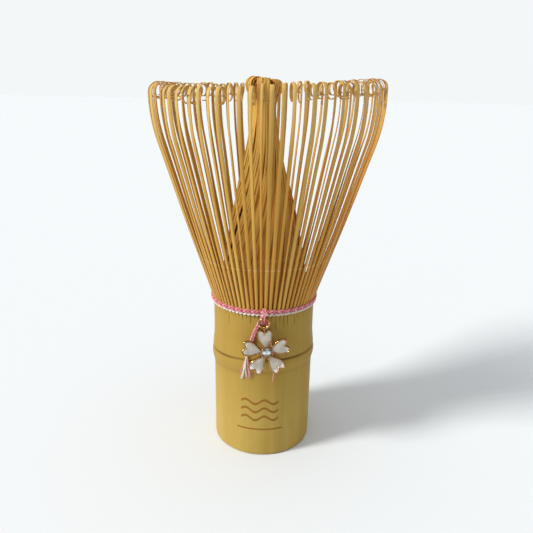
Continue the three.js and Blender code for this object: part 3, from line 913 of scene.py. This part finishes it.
def petal_fillings():
    """The enamel in each tray: a low dome with fine pleats that fan out from the flower's centre."""
    edge = petal_outline(RIM_WIRE * 1.5)
    heart = UP * 0.6 * PETAL_REACH
    rings = 10
    for k in range(PETALS):
        builder = Builder()
        turn = petal_turn(k)
        rows, tones = [[turn @ p for p in edge]], [[0.0] * len(edge)]
        for i in range(rings + 1):
            share = i / rings
            ring, tone = [], []
            for p in edge:
                q = p.lerp(heart, share * 0.985)
                pleat = 0.03 * MM * math.cos(math.atan2(q.x, q.z) * 62) * smoothstep(share * 4) * (1 - share)
                rise = 0.16 * MM + 0.2 * MM * (1 - (1 - share) ** 2)
                ring.append(turn @ (q - INWARD * (rise + pleat)))
                # painted highlight: the enamel is whiter near the tips, most of all on the lower petals
                low_petal_highlight = 0.35 + 0.65 * smoothstep(-ring[-1].z / (4 * MM))
                tone.append(smoothstep((q.length - 4.9 * MM) / (1.5 * MM)) * low_petal_highlight)
            rows.append(ring)
            tones.append(tone)
        builder.grid(rows)
        builder.tones = [tone for row in tones for tone in row]
        obj = builder.piece(f"blossom_enamel_{k + 1}", ENAMEL, place=CHARM_FRAME)
        settle(obj, "charm", "pearl_enamel", f"petal_enamel_{k + 1}")


def ring_of(radius, y, count, phase=0.0):
    """A circle of points that faces the front, at that y."""
    turns = [TAU * j / count + phase for j in range(count)]
    return [Vector((radius * math.cos(a), y, radius * math.sin(a))) for a in turns]


def stone():
    """A cut stone in a small cup with four ball-ended prongs."""
    cup = Builder()
    cup.grid([ring_of(r * MM, y * MM, 32) for r, y in
              ((0.4, -0.1), (1.3, -0.1), (1.44, -0.35), (1.48, -0.75), (1.4, -0.8), (1.3, -0.72),
               (1.19, -0.5), (0.3, -0.45))])
    for k in range(4):
        a = TAU * (k + 0.5) / 4
        out = Vector((math.cos(a), 0, math.sin(a)))
        prong = smooth_path([(out * reach - INWARD * rise) * MM for reach, rise in
                             ((1.42, 0.3), (1.46, 0.75), (1.19, 1.04), (0.98, 1.02))], 14)
        add_tube(cup, prong, 0.17 * MM, 10, up=out.cross(INWARD),
                 taper=lambda share: 1 + 0.25 * math.sin(math.pi * share))
    settle(cup.piece("stone_cup", GOLD, place=STONE_SEAT), "charm", "gold_metal", "stone_setting")
    gem = Builder()
    facets = 16
    gem.grid([ring_of(r * MM, y * MM, facets, phase) for r, y, phase in
              ((0.05, -0.46, 0), (1.09, -0.74, 0), (1.16, -0.8, 0), (0.92, -1.0, math.pi / facets),
               (0.64, -1.12, 0))])
    obj = gem.piece("cut_stone", CRYSTAL, smooth=False, place=STONE_SEAT)
    settle(obj, "charm", "crystal", "crystal_stone")


def jump_ring():
    """A ring of round wire with the fine split where it was closed."""
    builder = Builder()
    middle = centre("jump_ring")
    radius = size("jump_ring").z / 2 - RING_WIRE - 0.08 * MM
    count, gap, split = 72, 0.04, math.radians(205)
    path = []
    for i in range(count + 1):
        a = lerp(gap, TAU - gap, i / count) + split
        offset = 0.08 * MM * (i / count - 0.5)
        path.append(middle + Vector((math.cos(a) * radius, offset, math.sin(a) * radius)))
    add_tube(builder, path, RING_WIRE, 14, up=INWARD)
    settle(builder.piece("jump_ring_split", GOLD), "jump_ring", "gold_metal", "jump_ring")


# ---- Camera, light and floor ---------------------------------------------------------------------
def camera():
    data = bpy.data.cameras.new("camera")
    data.sensor_width = 36
    data.lens = LENS
    data.clip_start = 10 * MM
    cam = bpy.data.objects.new("camera", data)
    bpy.context.scene.collection.objects.link(cam)
    forward = Vector((0, math.cos(CAMERA_PITCH), -math.sin(CAMERA_PITCH)))
    cam.location = CAMERA_PLACE
    turned = forward.to_track_quat("-Z", "Y").to_matrix().to_4x4() @ Matrix.Rotation(CAMERA_ROLL, 4, "Z")
    cam.rotation_euler = turned.to_euler()
    bpy.context.scene.camera = cam


def studio():
    """Bright walls low down, a dim band above them, a bright ceiling, and a soft key from the front left."""
    world = bpy.data.worlds.new("studio")
    world.use_nodes = True
    tree = world.node_tree
    height = tree.nodes.new("ShaderNodeSeparateXYZ")
    tree.links.new(tree.nodes.new("ShaderNodeTexCoord").outputs["Generated"], height.inputs[0])
    ramp = tree.nodes.new("ShaderNodeValToRGB")
    elements = ramp.color_ramp.elements
    elements.new(0.3)
    elements.new(0.6)
    for element, (elevation, light) in zip(elements, STUDIO_BANDS):
        element.position = math.sin(math.radians(elevation))
        element.color = (*light, 1)
    tree.links.new(height.outputs[2], ramp.inputs[0])
    tree.links.new(ramp.outputs[0], tree.nodes["Background"].inputs["Color"])
    bpy.context.scene.world = world
    key = bpy.data.lights.new("key", "SUN")
    key.energy = KEY_STRENGTH
    key.color = KEY_COLOUR
    key.angle = KEY_SOFTNESS
    lamp = bpy.data.objects.new("key", key)
    bpy.context.scene.collection.objects.link(lamp)
    across = math.cos(KEY_ELEVATION)
    towards = Vector((math.cos(KEY_AZIMUTH) * across, math.sin(KEY_AZIMUTH) * across,
                      math.sin(KEY_ELEVATION)))
    lamp.rotation_euler = (-towards).to_track_quat("-Z", "Y").to_euler()


def paper_floor():
    mesh = bpy.data.meshes.new("floor")
    corners = [(x * FLOOR_REACH, y * FLOOR_REACH, 0) for x, y in ((-1, -1), (1, -1), (1, 1), (-1, 1))]
    mesh.from_pydata(corners, [], [(0, 1, 2, 3)])
    floor = bpy.data.objects.new("floor", mesh)
    floor.location.z = -0.02 * MM
    bpy.context.scene.collection.objects.link(floor)
    m = Shader("floor_paper")
    grain = m.noise(m.position(), 2500, (1, 1, 1), 2)
    colour = m.ramp(grain, 0.2, 0.8, *FLOOR_SHADES)
    mesh.materials.append(m.finish(colour, Roughness=1.0, Specular_IOR_Level=0.0))


# ---- The scene -----------------------------------------------------------------------------------
bpy.context.scene.view_settings.view_transform = "Standard"
camera()
studio()
paper_floor()
culm()
for sector in range(SECTORS):
    outer_tines(sector)
for sector in range(SECTORS):
    inner_tines(sector)
binding()
hanging_loop()
tail_braid()
tail()
blossom_frame()
petal_fillings()
stone()
jump_ring()
